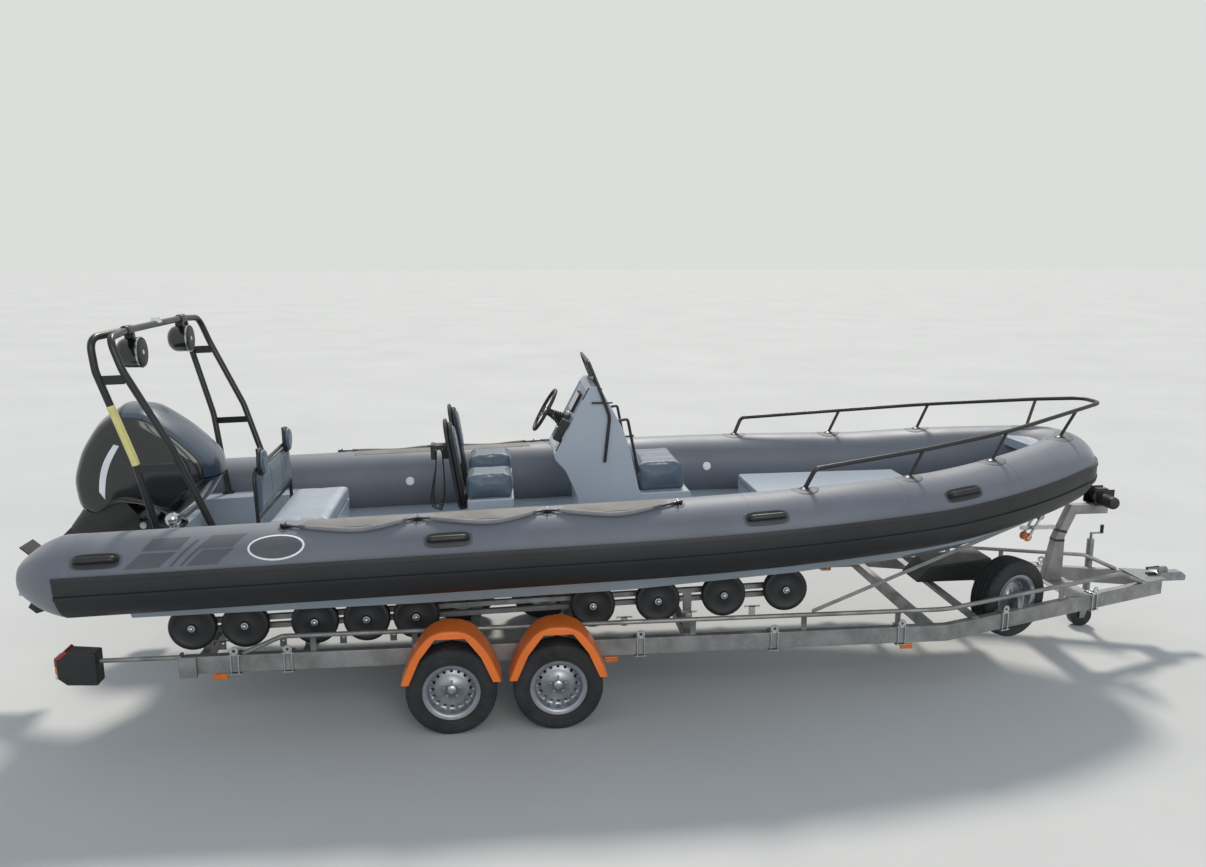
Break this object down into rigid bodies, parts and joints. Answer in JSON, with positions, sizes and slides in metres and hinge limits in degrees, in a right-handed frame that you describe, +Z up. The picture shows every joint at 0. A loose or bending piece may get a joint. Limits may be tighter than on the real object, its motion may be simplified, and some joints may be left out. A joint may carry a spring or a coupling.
{
  "type": "rigid inflatable boat on trailer",
  "caption": "Rigid inflatable boat with console, jockey seats, arch and tilted outboard, on a tandem-axle roller trailer.",
  "frame": {"origin": "centre of the footprint on the ground under the trailer", "axes": "+X forward to the trailer's coupling and the bow, +Y to port, +Z up"},
  "size_m": [9.5131, 2.8112, 2.8312],
  "materials": {
    "tyre": "matt tread rubber",
    "galvanised": "hot-dip galvanised steel",
    "orange_panel": "satin orange",
    "tube_fabric": "satin coated fabric, grey",
    "black_rubber": "matt black rubber",
    "gelcoat": "light grey gelcoat",
    "slate_vinyl": "slate vinyl",
    "black_steel": "black powder coat",
    "black_plastic": "matt black",
    "orange_plastic": "orange roller rubber",
    "tinted_screen": "dark tinted screen",
    "black_gloss": "gloss black",
    "black_metal": "black paint",
    "steel_blade": "polished stainless steel",
    "white_plastic": "white",
    "black_rope": "black braided rope",
    "grey_strap": "grey woven strap"
  },
  "bodies": {
    "trailer_and_boat": {"axles": "galvanised", "fenders": "orange_panel", "side_beams": "galvanised", "upper_rails": "galvanised", "cross_tubes": "galvanised", "coupling": "galvanised", "collar": "tube_fabric", "rubbing_band": "black_rubber", "hull": "gelcoat", "roller_cradles": "galvanised", "hull_rollers": "black_rubber", "winch_post": "galvanised", "winch": "black_plastic", "bow_stop": "orange_plastic", "spare_wheel": "tyre", "spare_carrier": "galvanised", "lamp_arms": "galvanised", "rear_lamps": "black_plastic", "jockey_leg": "galvanised", "storage_box": "black_plastic", "console": "gelcoat", "console_cushion": "slate_vinyl", "console_rails": "black_steel", "screen_pane": "tinted_screen", "helm_column": "black_plastic", "throttle_box": "black_plastic", "jockey_bases": "gelcoat", "jockey_cushions": "slate_vinyl", "jockey_backs": "slate_vinyl", "rope_hank": "black_rope", "bench_base": "gelcoat", "bench_cushion": "slate_vinyl", "bench_hoop": "black_steel", "bench_back": "slate_vinyl", "headrests": "slate_vinyl", "bow_locker": "gelcoat", "nose_deck": "gelcoat", "bow_rail": "black_steel", "grab_handles": "black_rubber", "line_staples": "black_rubber", "grab_line_left": "black_rope", "grab_line_right": "black_rope", "arch": "black_steel", "speakers": "black_plastic", "nav_light": "white_plastic", "clamp_bracket": "black_metal", "tie_strap": "grey_strap"},
    "wheel_rear_left": {"wheel_rear_left": "tyre"},
    "wheel_rear_right": {"wheel_rear_right": "tyre"},
    "wheel_front_left": {"wheel_front_left": "tyre"},
    "wheel_front_right": {"wheel_front_right": "tyre"},
    "tilt_bracket": {"swivel_bracket": "black_metal"},
    "engine": {"cowl": "black_gloss", "midsection": "black_metal"},
    "screw": {"propeller": "steel_blade"},
    "helm": {"steering_wheel": "black_plastic"},
    "locker_lid": {"bow_lid": "gelcoat"},
    "caster_fork": {"jockey_fork": "galvanised"},
    "caster_wheel": {"jockey_wheel": "black_rubber"}
  },
  "joints": [
    {"name": "wheel_rear_left_spin", "type": "hinge", "parent": "trailer_and_boat", "child": "wheel_rear_left", "pos_m": [-1.49, 1.06, 0.315], "axis": [0, 1, 0], "continuous": true},
    {"name": "wheel_rear_right_spin", "type": "hinge", "parent": "trailer_and_boat", "child": "wheel_rear_right", "pos_m": [-1.49, -1.06, 0.315], "axis": [0, 1, 0], "continuous": true},
    {"name": "wheel_front_left_spin", "type": "hinge", "parent": "trailer_and_boat", "child": "wheel_front_left", "pos_m": [-0.75, 1.06, 0.315], "axis": [0, 1, 0], "continuous": true},
    {"name": "wheel_front_right_spin", "type": "hinge", "parent": "trailer_and_boat", "child": "wheel_front_right", "pos_m": [-0.75, -1.06, 0.315], "axis": [0, 1, 0], "continuous": true},
    {"name": "outboard_tilt", "type": "hinge", "parent": "trailer_and_boat", "child": "tilt_bracket", "pos_m": [-3.76977, 0, 1.29953], "axis": [0, 1, 0], "range_deg": [-49, 15]},
    {"name": "outboard_steer", "type": "hinge", "parent": "tilt_bracket", "child": "engine", "pos_m": [-3.86096, 0, 1.38504], "axis": [0.684, 0, 0.7294], "range_deg": [-30, 30]},
    {"name": "propeller_spin", "type": "hinge", "parent": "engine", "child": "screw", "pos_m": [-4.65759, 0, 0.85714], "axis": [0.7294, 0, -0.684], "continuous": true},
    {"name": "helm_turn", "type": "hinge", "parent": "trailer_and_boat", "child": "helm", "pos_m": [-0.77065, 0, 2.09124], "axis": [-0.869, 0, 0.4948], "range_deg": [-540, 540]},
    {"name": "locker_lid_hinge", "type": "hinge", "parent": "trailer_and_boat", "child": "locker_lid", "pos_m": [2.18737, 0, 1.42187], "axis": [0, 1, 0], "range_deg": [0, 80]},
    {"name": "caster_swivel", "type": "hinge", "parent": "trailer_and_boat", "child": "caster_fork", "pos_m": [4.06, 0.30772, 0.2], "axis": [0, 0, 1], "continuous": true},
    {"name": "caster_wheel_spin", "type": "hinge", "parent": "caster_fork", "child": "caster_wheel", "pos_m": [4.015, 0.30772, 0.1], "axis": [0, 1, 0], "continuous": true}
  ]
}
